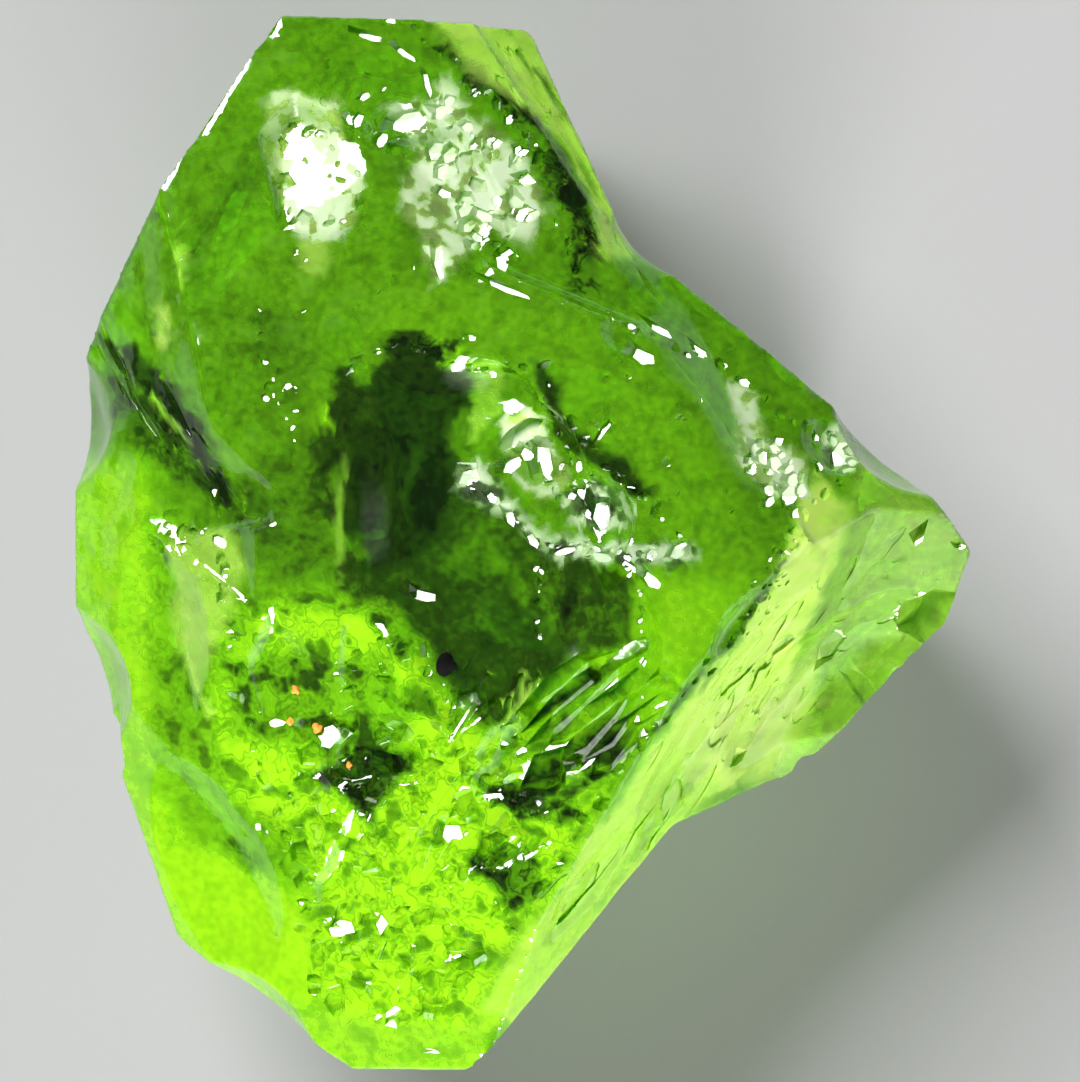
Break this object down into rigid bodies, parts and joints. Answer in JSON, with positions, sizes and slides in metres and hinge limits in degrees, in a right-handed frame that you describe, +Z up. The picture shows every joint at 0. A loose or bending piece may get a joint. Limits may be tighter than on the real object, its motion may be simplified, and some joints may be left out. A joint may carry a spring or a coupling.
{
  "type": "peridot crystal",
  "caption": "Rough, broken piece of clear green peridot with flat breaks, chipped edges and a hollow in its face.",
  "frame": {"origin": "middle of the bounding box's underside, on the ground under the stone", "axes": "+Z up, away from the flat break that the stone lies on and towards the side that is usually pictured; +Y along the stone's length towards its top; +X towards its pointed wing"},
  "size_m": [0.009, 0.0106, 0.0056],
  "materials": {
    "peridot": "clear bright green, glossy, with frosty chips"
  },
  "bodies": {
    "root": {"peridot_crystal": "peridot"}
  },
  "joints": []
}
